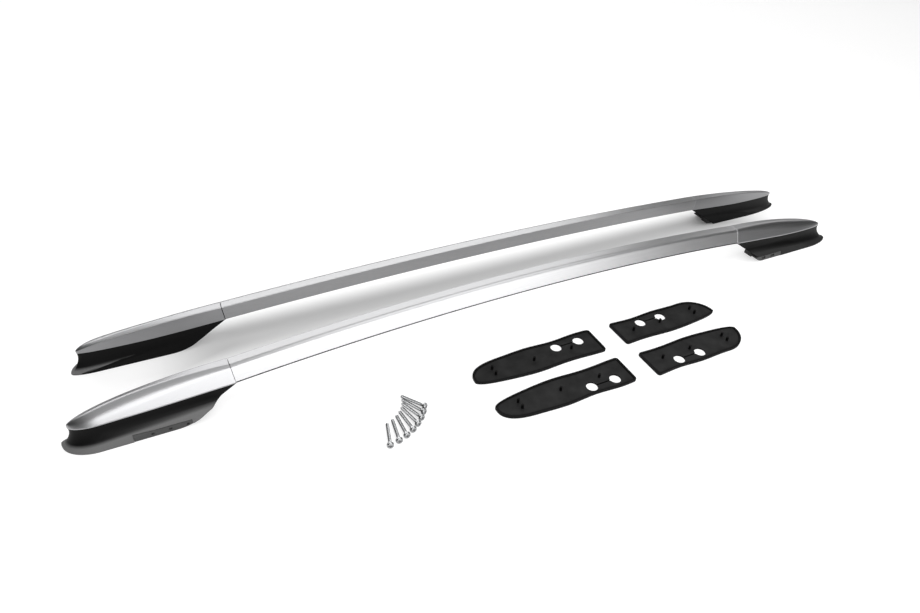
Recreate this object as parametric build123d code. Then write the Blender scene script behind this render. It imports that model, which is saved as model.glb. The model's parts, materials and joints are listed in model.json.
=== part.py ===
"""A pair of roof side rails with their loose rubber pads and mounting bolts.

Each rail is a hollow aluminium extrusion, bent to a shallow arch that leans
inwards. At each end a cast bracket slides into the extrusion and stands on the
roof, a black moulded base hides the bracket and a silver cap closes the top.
The pads and bolts lie on the floor beside the rails, as they come in the set.

One rail is drawn as the left-hand one: x runs from the front nose to the rear
nose, y = 0 is the outer lower edge, +y points inwards, z = 0 is the floor.
Each end is drawn in a frame of its own, with the seam between rail and cap at
x = 0 and the nose towards -x. The right-hand rail is a mirror image.
"""

import os
from dataclasses import dataclass
from math import acos, asin, atan2, cos, degrees, radians, sin, sqrt

from build123d import *

# Arch of the extrusion, in millimetres and degrees
SPAN = 1750.0  # one rail, nose to nose
ARCH_RISE = 23.0  # sagitta between the two seams
ARCH_LEAN = 23.5  # the arch's plane leans inwards

# Section of the extrusion
SECTION_WIDTH = 39.0
SECTION_HEIGHT = 30.0
SHOULDER_INSET = 16.0  # from the outer lower edge in to the outer top edge
SHOULDER_ROUND = 6.0  # reach of the rounding to both sides of the outer top edge
SHOULDER_FACETS = 4
CREST_CHAMFER = 1.6  # the inner top edge is crisp
HEM_CHAMFER = 1.2  # both lower edges
RAIL_WALL = 2.4

# Caps
CAP_WALL = 2.4
SEAM_GAP = 0.8  # between the extrusion and a cap
NOSE_FLAT = 1.0  # where the cap's skin ends, behind its theoretical nose
NOSE_DEPTH = 2.5  # of the cap's skin at the nose
NOSE_SHOULDER = 0.6  # how far across the nose the shoulder may come
STATION_COUNT = 14  # sections from the nose to the seam, closer at the nose
CAVITY_STATIONS = (3, 5, 7, 10)  # the sections that the inside follows
CLIP_LENGTH = 10.0  # the snap clips that hold a cap down on its base
CLIP_WALL = 2.4
CLIP_BARB = 1.6
CLIP_BARB_HEIGHT = 3.5
CLIP_ROOT = 10.0  # from the barb up into the cap
NOSE_CLIP = 70.0  # from the nose
SEAM_CLIP = 45.0  # from the seam
SEAM_CLIP_Y = 9.0

# Bases
BASE_WALL = 2.8
DECK = 3.0
BASE_GAP = 0.3  # between the base's deck and the cap's lower edge
NECK_INSET = 1.4  # the base's neck lies this far inside the cap's edge
LIP = 3.0  # upright edge of the base at the floor
FLARE_OUT = 16.0  # the base's foot stands out this far on the outer side
CREASE_FLARE = 0.7  # share of the flare at the crease, where the wall meets the foot's slope
CREASE_LIFT = 1.5  # of the crease above the lip, at the nose
CREASE_SLOPE = 0.085  # rise of the crease towards the inner end
WALL_SHARES = (0.0, 0.45, 1.0)  # heights of the wall's sections between crease and neck
NECK_HEIGHT = 37.0  # where the wall is as narrow as the cap
NOSE_TURNS = (1.5, 4.0, 9.0, 18.0, 35.0, 60.0)  # facets round the nose, in degrees from the side
RIB = 2.0
RIB_PITCH = 36.0
RIB_COUNT = 2
RIB_START = 40.0  # from the base's nose
RIB_FLOOR = 18.0  # the ribs stay this high above the floor
WINDOW_ROOM = 1.2  # above the bracket's foot plate

# Brackets
PLATE_LEAD = 10.0  # foot plate past the tapped hole nearer the nose
PLATE_RECESS = 0.8  # the foot plate's outer face lies this far inside the base's
THREAD_Y = -1.5
THREAD_PITCH = 54.0
THREAD_DRILL_RADIUS = 2.5  # tapping size of an M6 thread
FOOT_PLATE = 12.0
PLATE_TAIL = 14.0  # column past the tapped hole nearer the seam
POCKET_FLOOR = 4.0
POCKET_DEPTH = 5.0
COLUMN_START = 9.0  # y of the column's outer side
COLUMN_WIDTH = 18.0
NECK_LENGTH = 19.0  # along the rail, through the base's deck
TONGUE_WIDTH = 12.0
TONGUE_HEIGHT = 20.0
TONGUE_IN = 70.0  # length inside the extrusion
TONGUE_REACH = 19.0  # tongue's outer side from the section's outer lower edge
FIT = 0.3  # clearance between pieces that slide together

# Bracket screws with hexagon heads
SCREW_RADIUS = 2.4
SCREW_HEAD_RADIUS = 4.6
SCREW_HEAD_HEIGHT = 2.6
SCREW_BITE = 10.0
SCREW_PLAY = 0.15
SCREW_PLACE = 35.0  # from the seam, into the extrusion

# Pads
PAD_LIP = 7.0  # a pad stands out this far along the base's sides
PAD_END_LIP = 5.0  # and at the base's ends
PAD_FIELD = 3.4
PAD_RIM = 2.2
PAD_RIM_WIDTH = 4.0
PAD_CORNER = 7.0
PAD_HOLE_RADIUS = 11.5
GROOVE_WIDTH = 2.0
GROOVE_DEPTH = 1.5
PEG_RADIUS = 2.6
PEG_SIDES = 8
PEG_HEIGHT = 9.0
PEG_PAIR = 16.0
PEG_PAIR_PLACE = 41.0  # from the base's nose
PEG_ROW_Y = 14.0

# Mounting bolts, M6 with a pan head and a cross recess
BOLT_RADIUS = 3.0
BOLT_LENGTH = 50.0
BOLT_HEAD_RADIUS = 6.4
BOLT_HEAD_HEIGHT = 5.2
BOLT_HEAD_CROWN = 2.4  # height of the tapered upper part
BOLT_HEAD_TAPER = 42.0
BOLT_FACETS = 16
RECESS_LENGTH = 7.6
RECESS_WIDTH = 1.5
RECESS_DEPTH = 2.4
BOLT_COUNT = 8

# How the set lies on the floor
RAIL_SPACING = 219.4  # between the outer lower edges of the two rails
RIGHT_LEAD = 13.7  # the right-hand rail lies this much further back
RIGHT_YAW = -0.74
REAR_LEFT_PAD = (966.0, -107.0)  # middle of each pad's inner end
REAR_RIGHT_PAD = (969.5, -203.5)
FRONT_LEFT_PAD = (1017.5, -110.0)
FRONT_RIGHT_PAD = (1017.5, -209.0)
FAN_CENTRE = (511.6, -59.9)
FAN_ANGLE = -56.0
FAN_STEP = -6.85
FAN_RADIUS = 44.0  # from the fan's centre to the first bolt's tip
FAN_STAGGER = 6.7

OVERRUN = 60.0  # by which cutting bodies run past a piece


@dataclass(frozen=True)
class Nose:
    """How a plan is rounded at its nose."""

    tip: float  # y of the foremost point
    outer: float  # length of the rounding on the outer side
    inner: float  # and on the inner side
    fullness: float = 2.0  # of the outer side, 2 is an ellipse


@dataclass(frozen=True)
class End:
    """The sizes of one end of a rail."""

    cap_length: float
    seam_height: float  # outer lower edge above the floor at the seam
    nose_height: float  # the cap's lower edge above the floor at the nose
    sag: float  # of the cap's lower edge below its chord
    tip: float  # y of the nose
    shoulder_fullness: float  # of the outer top edge, 2 is an ellipse
    crest_fullness: float  # of the inner top edge
    outer_nose: float  # length of the rounding on the outer side
    base_reach: float  # the base's nose ahead of the cap's
    foot: Nose  # of the base at the floor
    pad: Nose
    base_length: float  # along the floor, nose to inner corner
    base_lift: float  # of the inner corner above the floor
    rocker_radius: float  # the underside curves up towards the inner end
    flange_tail: float  # the foot plate's flange past the column
    pockets: tuple  # in the flange's outer face, from the base's nose
    pocket_width: float
    pocket_height: float
    thread_from_seam: float  # the tapped hole nearer the seam
    peg_places: tuple  # the single pegs of the pad, from the base's nose

    @property
    def nose_x(self):
        return -self.cap_length

    @property
    def base_front(self):
        return self.nose_x - self.base_reach

    @property
    def base_back(self):
        return self.base_front + self.base_length

    @property
    def threads(self):
        return (-self.thread_from_seam, -self.thread_from_seam - THREAD_PITCH)


FRONT = End(
    cap_length=268.0,
    seam_height=53.3,
    nose_height=40.5,
    sag=1.6,
    tip=21.0,
    shoulder_fullness=2.0,
    crest_fullness=1.6,
    outer_nose=50.0,
    base_reach=19.0,
    foot=Nose(tip=28.0, outer=60.0, inner=45.0),
    pad=Nose(tip=28.0, outer=60.0, inner=130.0),
    base_length=237.0,
    base_lift=22.0,
    rocker_radius=100.0,
    flange_tail=16.0,
    pockets=(139.0, 167.0, 195.0),
    pocket_width=5.0,
    pocket_height=4.0,
    thread_from_seam=114.0,
    peg_places=(133.0, 203.0),
)
REAR = End(
    cap_length=308.0,
    seam_height=61.0,
    nose_height=40.5,
    sag=2.0,
    tip=15.0,
    shoulder_fullness=1.6,
    crest_fullness=1.48,
    outer_nose=140.0,
    base_reach=29.0,
    foot=Nose(tip=10.0, outer=82.0, inner=130.0),
    pad=Nose(tip=22.0, outer=130.0, inner=160.0, fullness=2.9),
    base_length=278.0,
    base_lift=23.0,
    rocker_radius=40.0,
    flange_tail=8.0,
    pockets=(211.0, 241.0),
    pocket_width=12.0,
    pocket_height=6.0,
    thread_from_seam=92.0,
    peg_places=(130.0, 218.0),
)
ENDS = {"front": FRONT, "rear": REAR}

# The arch is a circle through both seams, in a plane that leans inwards
front_seam = Vector(FRONT.cap_length, 0, FRONT.seam_height)
rear_seam = Vector(SPAN - REAR.cap_length, 0, REAR.seam_height)
chord = rear_seam - front_seam
run = chord.normalized()
upright = Vector(0, sin(radians(ARCH_LEAN)), cos(radians(ARCH_LEAN)))
rise = (upright - run * upright.dot(run)).normalized()
arch_radius = (chord.length / 2) ** 2 / (2 * ARCH_RISE) + ARCH_RISE / 2
half_arc = degrees(asin(chord.length / 2 / arch_radius))
bend = Axis((0, 0, 0), run.cross(rise))
bend_centre = (front_seam + rear_seam) * 0.5 + rise * (ARCH_RISE - arch_radius)

tongue_end = TONGUE_REACH + TONGUE_WIDTH
column_end = COLUMN_START + COLUMN_WIDTH
foot_middle = (SECTION_WIDTH - FLARE_OUT) / 2


def section_plane(angle):
    """The extrusion's section plane, carried along the arch towards the front."""
    return Plane(
        origin=bend_centre + (rise * arch_radius).rotate(bend, angle),
        x_dir=Vector(0, 1, 0).rotate(bend, angle),
        z_dir=run.rotate(bend, angle),
    )


def seam_plane(end):
    """The seam's plane in the end's own frame, facing into the extrusion."""
    flip = 1 if end is FRONT else -1
    plane = section_plane(half_arc * flip)
    across = plane.x_dir
    into = plane.z_dir * flip
    return Plane(
        origin=(0, 0, end.seam_height),
        x_dir=(across.X * flip, across.Y, across.Z),
        z_dir=(into.X * flip, into.Y, into.Z),
    )


def placed(end, piece):
    """A piece drawn in an end's own frame, set in the left-hand rail's frame."""
    if end is FRONT:
        return Pos(end.cap_length, 0, 0) * piece
    return Pos(SPAN - end.cap_length, 0, 0) * mirror(piece, Plane.YZ)


def swell(distance, length, fullness):
    """Share of full size at a distance from the nose: 0 at the nose, 1 past length."""
    away = max(0.0, 1 - distance / length)
    return (1 - away**fullness) ** (1 / fullness)


def blend(start, finish, share):
    return start + (finish - start) * share


def polygon(corners):
    return make_face(Polyline(*corners, close=True))


def skin(rings):
    """A closed body through rings of points that match, its walls laid in triangles."""
    faces = [Face(Wire.make_polygon(ring)) for ring in (rings[0], rings[-1])]
    for ring, following in zip(rings, rings[1:]):
        for number in range(len(ring)):
            start, finish = ring[number - 1], ring[number]
            next_start, next_finish = following[number - 1], following[number]
            faces.append(Face(Wire.make_polygon([start, finish, next_finish])))
            faces.append(Face(Wire.make_polygon([start, next_finish, next_start])))
    return Solid(Shell(faces))


def slab(outline):
    """A side view in x and z, drawn out to both sides in y."""
    return extrude(Plane.XZ * outline, 2 * OVERRUN, both=True)


def upward(radius, start, length):
    """A round bar or drill along z."""
    return Pos(0, 0, start) * Cylinder(radius, length, align=(Align.CENTER, Align.CENTER, Align.MIN))


def block(low, high):
    """A box between two opposite corners."""
    size = [b - a for a, b in zip(low, high)]
    return Pos(*low) * Box(*size, align=Align.MIN)


# The extrusion


def eased(before, corner, after, reach):
    """The points that round off a corner, from reach before it to reach after it."""
    corner = Vector(*corner)
    start = corner + (Vector(*before) - corner).normalized() * reach
    finish = corner + (Vector(*after) - corner).normalized() * reach
    points = []
    for step in range(SHOULDER_FACETS + 1):
        share = step / SHOULDER_FACETS
        point = blend(blend(start, corner, share), blend(corner, finish, share), share)
        points.append((point.X, point.Y))
    return points


def section_outline(corners, round_share=1.0):
    """The section's outline through its four corners: shoulder rounded, crest bevelled."""
    low, shoulder, crest, inner_low = corners
    bevel = CREST_CHAMFER * round_share
    crest_bevel = [(crest[0] - bevel, crest[1]), (crest[0], crest[1] - bevel)]
    return [low, *eased(low, shoulder, crest, SHOULDER_ROUND * round_share), *crest_bevel, inner_low]


def section_corners(below=0.0):
    """Outer lower, shoulder, crest and inner lower corners of the section."""
    return [
        (-below * SHOULDER_INSET / SECTION_HEIGHT, -below),
        (SHOULDER_INSET, SECTION_HEIGHT),
        (SECTION_WIDTH, SECTION_HEIGHT),
        (SECTION_WIDTH, -below),
    ]


def screw_plane(end):
    """Where the bracket screw's head meets the extrusion, with z up its axis."""
    flip = 1 if end is FRONT else -1
    plane = section_plane(flip * (half_arc - degrees(SCREW_PLACE / arch_radius)))
    origin = plane.from_local_coords((TONGUE_REACH + TONGUE_WIDTH / 2, 0, 0))
    return Plane(origin=origin, x_dir=plane.z_dir, z_dir=plane.y_dir)


def make_rail():
    """The bent hollow extrusion, drilled for the bracket screws from below."""
    corners = section_corners()
    outline = polygon(section_outline(corners))
    hems = outline.vertices().filter_by(lambda v: v.Y < HEM_CHAMFER)
    hollow = offset(polygon(corners), -RAIL_WALL, kind=Kind.INTERSECTION)
    section = section_plane(-half_arc) * (chamfer(hems, HEM_CHAMFER) - hollow)
    rail = revolve(section, Axis(bend_centre, bend.direction), 2 * half_arc)
    for end in ENDS.values():
        rail -= screw_plane(end) * upward(SCREW_RADIUS + SCREW_PLAY, -RAIL_WALL, 3 * RAIL_WALL)
    return rail


# The caps


def lower_edge(end, distance):
    """Height of the cap's lower edge, which bends a little in its middle."""
    middle = end.cap_length / 2
    middle_height = (end.nose_height + end.seam_height) / 2 - end.sag
    if distance < middle:
        return blend(end.nose_height, middle_height, distance / middle)
    return blend(middle_height, end.seam_height, distance / middle - 1)


def under(end, drop):
    """Everything below the cap's lower edge, or drop millimetres lower still."""
    stations = (-OVERRUN, end.cap_length / 2, end.cap_length + OVERRUN)
    edge = [(end.nose_x + s, lower_edge(end, s) - drop) for s in stations]
    return slab(polygon([*edge, (edge[-1][0], -OVERRUN), (edge[0][0], -OVERRUN)]))


def cap_corners(end, distance, below):
    """Corners of the cap's section at a distance from the nose, in y and z."""
    low = lower_edge(end, distance)
    nose_top = end.nose_height + NOSE_DEPTH
    full_top = end.seam_height + SECTION_HEIGHT
    shoulder = blend(nose_top, full_top, swell(distance, end.cap_length, end.shoulder_fullness))
    crest = blend(nose_top, full_top, swell(distance, end.cap_length, end.crest_fullness))
    outer = end.tip * (1 - swell(distance, end.outer_nose, 2))
    inner = blend(end.tip, SECTION_WIDTH, swell(distance, end.cap_length, 2))
    slope = SHOULDER_INSET / SECTION_HEIGHT
    return [
        (outer - below * slope, low - below),
        (min(outer + (shoulder - low) * slope, blend(outer, inner, NOSE_SHOULDER)), shoulder),
        (inner, crest),
        (inner, low - below),
    ]


def across(x):
    """The plane across an end at x, with y and z as its own axes."""
    return Plane(origin=(x, 0, 0), x_dir=(0, 1, 0), z_dir=(1, 0, 0))


def ring(plane, points):
    return [plane.from_local_coords((*point, 0)) for point in points]


def station(end, number):
    """Distance of a numbered section from the nose."""
    return blend(NOSE_FLAT, end.cap_length, (number / STATION_COUNT) ** 2)


def cap_skin(end):
    """The cap's outer form as one closed body, running past its lower edge."""
    below = 4 * CAP_WALL
    rings = []
    for number in range(STATION_COUNT):
        distance = station(end, number)
        outline = section_outline(cap_corners(end, distance, below), swell(distance, end.cap_length, 2))
        rings.append(ring(across(end.nose_x + distance), outline))
    rings.append(ring(seam_plane(end).offset(-SEAM_GAP), section_outline(section_corners(below))))
    return skin(rings)


def inside(corners):
    """The corners of a section's inside, one wall in from its outside."""
    vertices = offset(polygon(corners), -CAP_WALL, kind=Kind.INTERSECTION).vertices()
    nearest = [vertices.sort_by_distance((*corner, 0))[0] for corner in corners]
    return [(vertex.X, vertex.Y) for vertex in nearest]


def cap_cavity(end):
    """The space inside the cap, open below and at the seam."""
    below = 6 * CAP_WALL
    rings = []
    for number in CAVITY_STATIONS:
        distance = station(end, number)
        rings.append(ring(across(end.nose_x + distance), inside(cap_corners(end, distance, below))))
    rings.append(ring(seam_plane(end).offset(SEAM_GAP), inside(section_corners(below))))
    return skin(rings)


def clip_spots(end):
    """x and y of the two snap clips of a cap."""
    corners = cap_corners(end, NOSE_CLIP, 0)
    return [(end.nose_x + NOSE_CLIP, (corners[0][0] + corners[3][0]) / 2), (-SEAM_CLIP, SEAM_CLIP_Y)]


def clip_seat(end, x):
    """Height of the barb's flat top, just under the base's deck."""
    return lower_edge(end, x - end.nose_x) - BASE_GAP - DECK - FIT


def make_clip(end, x, y):
    """A snap clip below the cap's lower edge: a tongue with a barb at its end."""
    seat = clip_seat(end, x)
    tip = seat - CLIP_BARB_HEIGHT
    side = polygon(
        [
            (y, tip),
            (y + CLIP_WALL, tip),
            (y + CLIP_WALL + CLIP_BARB, seat),
            (y + CLIP_WALL, seat),
            (y + CLIP_WALL, seat + CLIP_ROOT),
            (y, seat + CLIP_ROOT),
        ]
    )
    return extrude(across(x) * side, CLIP_LENGTH)


def make_cap(end):
    """A thin moulded shell with a rounded nose and two snap clips."""
    cavity = cap_cavity(end)
    for x, y in clip_spots(end):
        cavity -= block((x, y, 0), (x + CLIP_LENGTH, y + CLIP_WALL, end.seam_height + SECTION_HEIGHT))
    cap = cap_skin(end) - cavity - under(end, 0)
    for x, y in clip_spots(end):
        cap += make_clip(end, x, y)
    return cap


# The bases


def tangent(centre, radius_x, radius_y, fullness, angle):
    """The line that touches a rounded nose on the side the angle points to: angle and distance."""
    along = cos(radians(angle))
    side = sin(radians(angle))
    power = fullness / (fullness - 1)
    reach = (abs(radius_x * along) ** power + abs(radius_y * side) ** power) ** (1 / power)
    return angle, centre[0] * along + centre[1] * side + reach


def meeting(line, other):
    """The point where two such lines cross."""
    (angle, reach), (other_angle, other_reach) = line, other
    spread = sin(radians(other_angle - angle))
    x = (reach * sin(radians(other_angle)) - other_reach * sin(radians(angle))) / spread
    y = (other_reach * cos(radians(angle)) - reach * cos(radians(other_angle))) / spread
    return x, y


def nose_outline(x, outer, inner, shape, back):
    """A plan between two long sides, from its rounded nose at x to its straight back.

    Lines that touch the rounding, always at the same angles, draw it, so that the
    edges of any two plans are parallel.
    """
    lines = []
    for turn in (0, *NOSE_TURNS, 90):
        lines.append(tangent((x + shape.inner, shape.tip), shape.inner, inner - shape.tip, 2, 90 + turn))
    for turn in (*reversed(NOSE_TURNS), 0):
        centre = (x + shape.outer, shape.tip)
        lines.append(tangent(centre, shape.outer, shape.tip - outer, shape.fullness, 270 - turn))
    corners = [meeting(line, other) for line, other in zip(lines, lines[1:])]
    return [*corners, (back, outer), (back, inner)]


def foot_outline(end, flare, inset):
    """Plan of the base: flare 0 is its neck under the cap, flare 1 its foot."""
    nose = blend(end.nose_x + NECK_INSET, end.base_front, flare) + inset
    outer_end = blend(end.nose_x + end.outer_nose, end.base_front + end.foot.outer, flare)
    inner_end = blend(0, end.base_front + end.foot.inner, flare)
    shape = Nose(blend(end.tip, end.foot.tip, flare), outer_end - nose, inner_end - nose)
    outer = blend(NECK_INSET, -FLARE_OUT, flare) + inset
    inner = SECTION_WIDTH - blend(NECK_INSET, 0, flare) - inset
    return nose_outline(nose, outer, inner, shape, OVERRUN / 4)


def wall_ring(end, inset, share):
    """A section of the base's wall: share 0 is the sloping crease, share 1 the neck."""
    points = []
    for x, y in foot_outline(end, CREASE_FLARE * (1 - share) ** 2, inset):
        crease = LIP + CREASE_LIFT + CREASE_SLOPE * (x - end.base_front) - inset
        points.append(Vector(x, y, blend(crease, NECK_HEIGHT, share)))
    return points


def base_form(end, inset, lowest):
    """The flared form of the base, from its foot up past the cap's edge."""
    rings = [ring(Plane.XY.offset(z), foot_outline(end, 1, inset)) for z in (lowest, LIP - inset)]
    rings += [wall_ring(end, inset, share) for share in WALL_SHARES]
    top = Plane.XY.offset(NECK_HEIGHT + end.seam_height)
    return skin([*rings, ring(top, foot_outline(end, 0, inset))])


def slanted_end(end, inset):
    """Everything on the seam's side of the base's slanted inner end."""
    low = (end.base_back - inset, end.base_lift)
    high = (-inset, end.seam_height)
    lean = OVERRUN * (high[0] - low[0]) / (high[1] - low[1])
    bottom = (low[0] - lean, low[1] - OVERRUN)
    top = (high[0] + lean, high[1] + OVERRUN)
    far = end.cap_length
    return slab(polygon([bottom, top, (far, top[1]), (far, bottom[1])]))


def rocker(end):
    """What is cut off below, where the underside curves up to the inner end."""
    radius = end.rocker_radius
    start = end.base_back - sqrt(2 * radius * end.base_lift - end.base_lift**2)
    turn = acos(1 - end.base_lift / radius)

    def curve(share):
        return (start + radius * sin(share * turn), radius - radius * cos(share * turn))

    arc = ThreePointArc(curve(0), curve(0.5), curve(1))
    far = end.base_back + OVERRUN
    bottom = [(far, end.base_lift), (far, -OVERRUN), (start, -OVERRUN)]
    return slab(make_face([arc, Polyline(curve(1), *bottom, curve(0))]))


def column_ends(end):
    """Where the bracket's column starts and ends along x."""
    return end.threads[1], end.threads[0] + PLATE_TAIL


def flange_ends(end):
    """Where the bracket's foot plate starts and ends along x."""
    return end.threads[1] - PLATE_LEAD, column_ends(end)[1] + end.flange_tail


def neck_ends(end):
    """Where the bracket rises through the base's deck, along x."""
    finish = column_ends(end)[1]
    return finish - NECK_LENGTH, finish


def window(end):
    """The opening in the base's walls that the bracket's foot plate fills."""
    start, finish = flange_ends(end)
    top = FOOT_PLATE + WINDOW_ROOM
    return block((start - FIT, -2 * OVERRUN, -LIP), (finish + FIT, tongue_end + FIT, top))


def make_base(end):
    """The black moulded skirt: flared walls, a deck under the cap, ribs in the nose."""
    cavity = (base_form(end, BASE_WALL, -LIP) & under(end, BASE_GAP + DECK)) - slanted_end(end, BASE_WALL)
    for number in range(RIB_COUNT):
        x = end.base_front + RIB_START + number * RIB_PITCH
        cavity -= block((x, -OVERRUN, RIB_FLOOR), (x + RIB, OVERRUN, 2 * OVERRUN))
    base = (base_form(end, 0, 0) & under(end, BASE_GAP)) - slanted_end(end, 0) - cavity
    base -= rocker(end)
    base -= window(end)
    for x, y in clip_spots(end):
        slot_low = (x - FIT, y - FIT, RIB_FLOOR)
        base -= block(slot_low, (x + CLIP_LENGTH + FIT, y + CLIP_WALL + FIT, end.seam_height))
    start, finish = neck_ends(end)
    opening_low = (start - FIT, TONGUE_REACH - FIT, FOOT_PLATE)
    opening_high = (finish + FIT, tongue_end + FIT, 2 * end.seam_height)
    return base - block(opening_low, opening_high)


# The brackets


def make_foot_plate(end):
    """The bracket's foot: it fills the base's window and has pockets in its outer face."""
    start, finish = flange_ends(end)
    plate = block((start, -2 * OVERRUN, 0), (finish, COLUMN_START, FOOT_PLATE))
    plate = (plate & base_form(end, PLATE_RECESS, -LIP)) - rocker(end)
    for place in end.pockets:
        x = end.base_front + place
        low = (x - end.pocket_width / 2, -2 * OVERRUN, POCKET_FLOOR)
        high = (x + end.pocket_width / 2, POCKET_DEPTH - FLARE_OUT, POCKET_FLOOR + end.pocket_height)
        plate -= block(low, high)
    return plate


def make_bracket(end):
    """The cast foot: a plate with two tapped holes, a column, a neck and a tongue."""
    bracket = make_foot_plate(end)
    start, finish = column_ends(end)
    column = block((start, COLUMN_START, 0), (finish, column_end, end.seam_height))
    bracket += column & under(end, BASE_GAP + DECK + FIT)
    neck_start, neck_finish = neck_ends(end)
    tongue_run = TONGUE_IN - neck_start
    profile = Pos(TONGUE_REACH, RAIL_WALL + FIT) * Rectangle(TONGUE_WIDTH, TONGUE_HEIGHT, align=Align.MIN)
    bracket += extrude(seam_plane(end).offset(neck_start) * profile, tongue_run)
    neck = block((neck_start, TONGUE_REACH, 0), (neck_finish, tongue_end, 2 * end.seam_height))
    below_top = Pos(0, RAIL_WALL + FIT + TONGUE_HEIGHT) * Rectangle(
        2 * OVERRUN, 2 * OVERRUN, align=(Align.CENTER, Align.MAX)
    )
    bracket += neck & extrude(seam_plane(end).offset(2 * neck_start) * below_top, -2 * neck_start)
    for x in end.threads:
        bracket -= Pos(x, THREAD_Y, 0) * upward(THREAD_DRILL_RADIUS, 0, FOOT_PLATE)
    room = PEG_RADIUS + FIT
    for place in end.peg_places:
        x = end.base_front + place
        bracket -= block((x - room, PEG_ROW_Y - room, 0), (x + room, column_end, PEG_HEIGHT + FIT))
    return bracket


# The bracket screws


def make_bracket_screws():
    """Screws along z of their planes, with the head's bearing face on the extrusion."""
    head = extrude(RegularPolygon(SCREW_HEAD_RADIUS, 6), -SCREW_HEAD_HEIGHT)
    screw = head + upward(SCREW_RADIUS, 0, RAIL_WALL + FIT + SCREW_BITE)
    return [screw_plane(end) * Pos(0, 0, -SCREW_PLAY) * screw for end in ENDS.values()]


# The loose pieces


def make_pad(end):
    """A rubber pad with a raised rim, its inner end at x = 0 and the nose towards -x."""
    nose = end.base_front - PAD_END_LIP
    back = end.base_back + PAD_END_LIP
    outline = polygon(nose_outline(nose, -FLARE_OUT - PAD_LIP, SECTION_WIDTH + PAD_LIP, end.pad, back))
    outline = chamfer(outline.vertices().filter_by(lambda v: v.X > back - FIT), PAD_CORNER)
    rim = offset(outline, -PAD_RIM_WIDTH, kind=Kind.INTERSECTION)
    pad = extrude(outline, PAD_FIELD + PAD_RIM) - Pos(0, 0, PAD_FIELD) * extrude(rim, PAD_RIM)
    near, far = end.threads
    pad -= block(
        (far, THREAD_Y - GROOVE_WIDTH / 2, PAD_FIELD - GROOVE_DEPTH),
        (near, THREAD_Y + GROOVE_WIDTH / 2, PAD_FIELD),
    )
    for x in end.threads:
        pad -= Pos(x, THREAD_Y, 0) * upward(PAD_HOLE_RADIUS, 0, PAD_FIELD)
    pegs = [(PEG_PAIR_PLACE, foot_middle - PEG_PAIR / 2), (PEG_PAIR_PLACE, foot_middle + PEG_PAIR / 2)]
    pegs += [(place, PEG_ROW_Y) for place in end.peg_places]
    peg = extrude(RegularPolygon(PEG_RADIUS, PEG_SIDES), PEG_HEIGHT)
    for place, y in pegs:
        pad += Pos(end.base_front + place, y, PAD_FIELD) * peg
    return Pos(-back, -foot_middle, 0) * pad


def make_bolt():
    """A mounting bolt lying on the rim of its head and on its tip, which is at x = 0."""
    head_top = BOLT_LENGTH + BOLT_HEAD_HEIGHT
    head_side = BOLT_HEAD_HEIGHT - BOLT_HEAD_CROWN
    bolt = extrude(RegularPolygon(BOLT_RADIUS, BOLT_FACETS), BOLT_LENGTH)
    head = RegularPolygon(BOLT_HEAD_RADIUS, BOLT_FACETS)
    bolt += Pos(0, 0, BOLT_LENGTH) * extrude(head, head_side)
    bolt += Pos(0, 0, BOLT_LENGTH + head_side) * extrude(head, BOLT_HEAD_CROWN, taper=BOLT_HEAD_TAPER)
    cross = Rectangle(RECESS_LENGTH, RECESS_WIDTH) + Rectangle(RECESS_WIDTH, RECESS_LENGTH)
    bolt -= Pos(0, 0, head_top - RECESS_DEPTH) * extrude(cross, RECESS_DEPTH)
    tilt = degrees(atan2(BOLT_HEAD_RADIUS - BOLT_RADIUS, BOLT_LENGTH))
    bolt = Rot(0, 90 - tilt, 0) * bolt
    return Pos(0, 0, -bolt.bounding_box().min.Z) * bolt


def make_bolts():
    """The bolts laid out in a fan, each a little further out than the last."""
    bolt = make_bolt()
    bolts = []
    for number in range(BOLT_COUNT):
        angle = FAN_ANGLE + number * FAN_STEP
        reach = FAN_RADIUS + number * FAN_STAGGER
        bolts.append(Pos(*FAN_CENTRE, 0) * Rot(0, 0, angle) * Pos(reach, 0, 0) * bolt)
    return bolts


# The set


def make_left_rail():
    """Every piece of the left-hand rail, by name."""
    pieces = {
        "rail": make_rail(),
        "bracket_screws": make_bracket_screws(),
    }
    for name, end in ENDS.items():
        pieces[f"{name}_cap"] = placed(end, make_cap(end))
        pieces[f"{name}_base"] = placed(end, make_base(end))
        pilot = upward(SCREW_RADIUS + SCREW_PLAY, 0, RAIL_WALL + FIT + SCREW_BITE + FIT)
        pieces[f"{name}_bracket"] = placed(end, make_bracket(end)) - screw_plane(end) * pilot
    return pieces


def right_hand(piece):
    """The mirror image of a left-hand piece, where the right-hand rail lies."""
    middle = Pos(SPAN / 2, 0, 0)
    turn = middle * Rot(0, 0, RIGHT_YAW) * middle.inverse()
    return Pos(RIGHT_LEAD, RAIL_SPACING, 0) * turn * mirror(piece, Plane.XZ)


def each(change, piece):
    """The change made to a piece, or to each solid of a group."""
    if isinstance(piece, list):
        return [change(one) for one in piece]
    return change(piece)


def make_set():
    nodes = {}
    for name, piece in make_left_rail().items():
        nodes[f"left_{name}"] = piece
        nodes[f"right_{name}"] = each(right_hand, piece)
    front_pad = make_pad(FRONT)
    rear_pad = make_pad(REAR)
    nodes["rear_left_pad"] = Pos(*REAR_LEFT_PAD, 0) * mirror(rear_pad, Plane.XZ)
    nodes["rear_right_pad"] = Pos(*REAR_RIGHT_PAD, 0) * rear_pad
    nodes["front_left_pad"] = Pos(*FRONT_LEFT_PAD, 0) * Rot(0, 0, 180) * front_pad
    nodes["front_right_pad"] = Pos(*FRONT_RIGHT_PAD, 0) * mirror(front_pad, Plane.YZ)
    nodes["mounting_bolts"] = make_bolts()
    return nodes


def solids_of(piece):
    """The solids of a piece or of a group, as one flat list."""
    group = piece if isinstance(piece, list) else [piece]
    return [solid for one in group for solid in one.solids()]


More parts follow.
